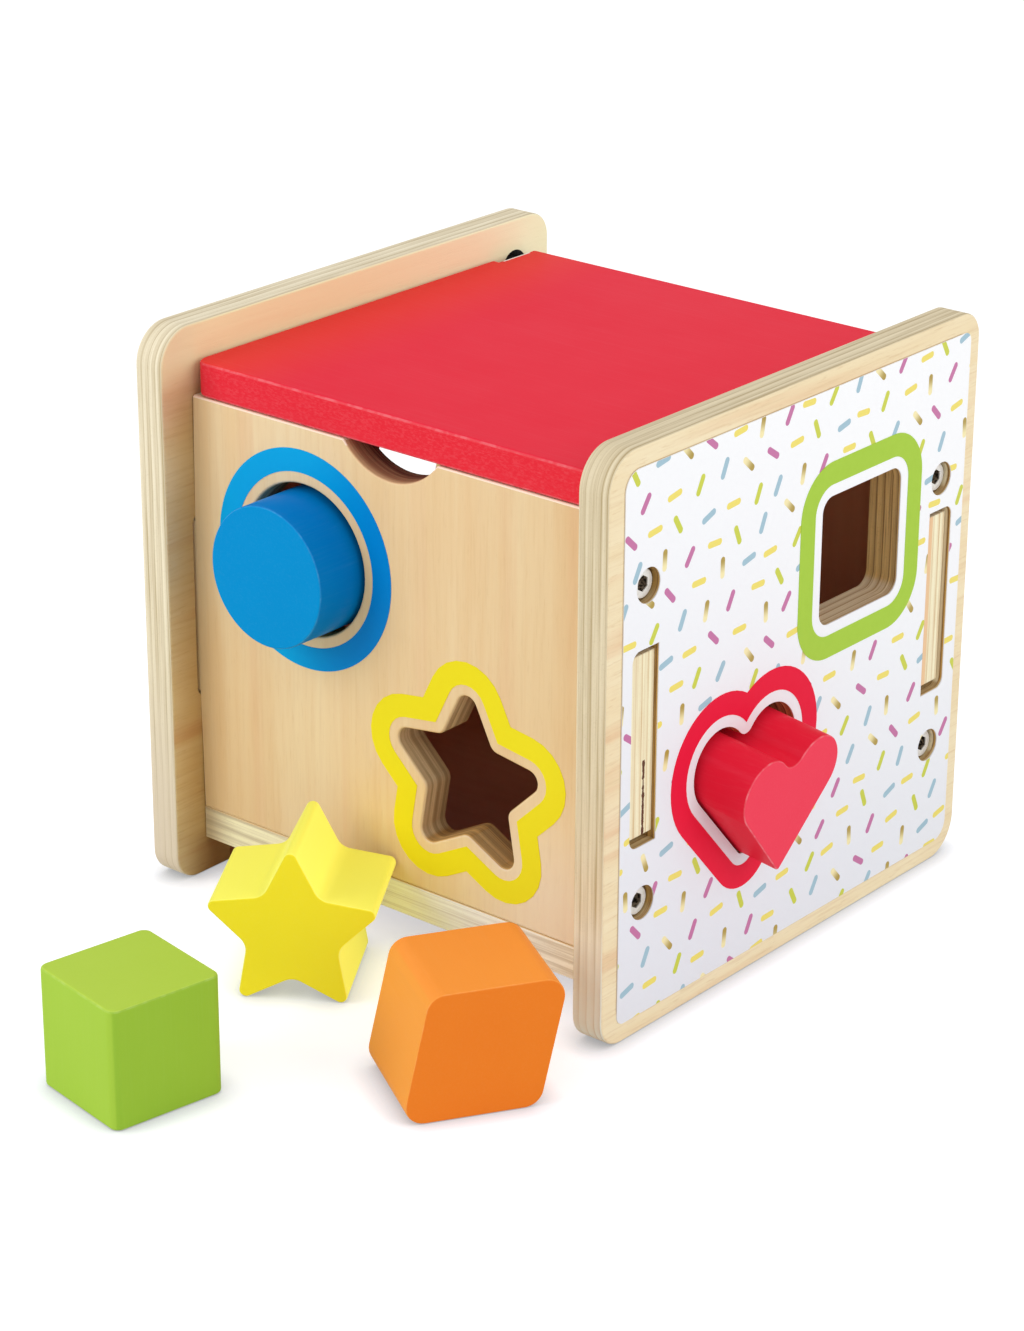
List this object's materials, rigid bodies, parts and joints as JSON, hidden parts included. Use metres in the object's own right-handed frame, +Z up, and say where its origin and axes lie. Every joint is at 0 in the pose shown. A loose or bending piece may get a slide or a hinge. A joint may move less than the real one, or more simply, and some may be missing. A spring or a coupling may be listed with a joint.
{
  "type": "wooden shape sorter",
  "caption": "Cube-shaped plywood shape sorter box with a hinged painted lid, shaped holes in its walls and painted wooden blocks that fit them.",
  "frame": {"origin": "centre of the whole set's footprint (box with the blocks beside it) on the table", "axes": "+Z up; +X to the box's right, through the printed side panel with the heart; -Y to its front, the panel with the circle and star holes"},
  "size_m": [0.1658, 0.2508, 0.15],
  "materials": {
    "plywood": "clear satin lacquer over light birch plywood",
    "lid_red": "satin red paint on plywood",
    "printed_sheet": "satin laminated print, white with small coloured dashes",
    "blue_paint": "satin blue paint",
    "red_paint": "satin red paint",
    "yellow_paint": "satin yellow paint",
    "green_paint": "satin green paint",
    "orange_paint": "satin orange paint",
    "steel": "zinc-plated"
  },
  "bodies": {
    "box": {"left_side_panel": "plywood", "right_side_panel": "plywood", "front_panel": "plywood", "back_panel": "plywood", "floor_panel": "plywood", "left_sheet": "printed_sheet", "right_sheet": "printed_sheet", "circle_outline": "blue_paint", "star_outline": "yellow_paint", "square_outline": "green_paint", "heart_outline": "red_paint", "slant_outline": "orange_paint", "left_side_screws": "steel", "right_side_screws": "steel", "floor_screws": "steel"},
    "lid": {"lid": "lid_red", "left_hinge_pin": "steel", "right_hinge_pin": "steel"},
    "cylinder": {"blue_cylinder": "blue_paint"},
    "heart": {"red_heart": "red_paint"},
    "star": {"yellow_star": "yellow_paint"},
    "cube": {"green_cube": "green_paint"},
    "slanted": {"orange_block": "orange_paint"}
  },
  "joints": [
    {"name": "lid_hinge", "type": "hinge", "parent": "box", "child": "lid", "pos_m": [-0.00758, 0.11107, 0.1365], "axis": [-1, 0, 0], "range_deg": [0, 105]},
    {"name": "cylinder_slide", "type": "slide", "parent": "box", "child": "cylinder", "axis": [0, -1, 0], "range_m": [-0.025, 0.05]},
    {"name": "heart_slide", "type": "slide", "parent": "box", "child": "heart", "axis": [0.9914, 0, -0.1305], "range_m": [-0.026, 0.05]},
    {"name": "star_lift", "type": "slide", "parent": "box", "child": "star", "axis": [0, 0, 1], "range_m": [0, 0.037]},
    {"name": "cube_lift", "type": "slide", "parent": "box", "child": "cube", "axis": [0, 0, 1], "range_m": [0, 0.12]},
    {"name": "slanted_lift", "type": "slide", "parent": "box", "child": "slanted", "axis": [0, 0, 1], "range_m": [0, 0.12]}
  ]
}
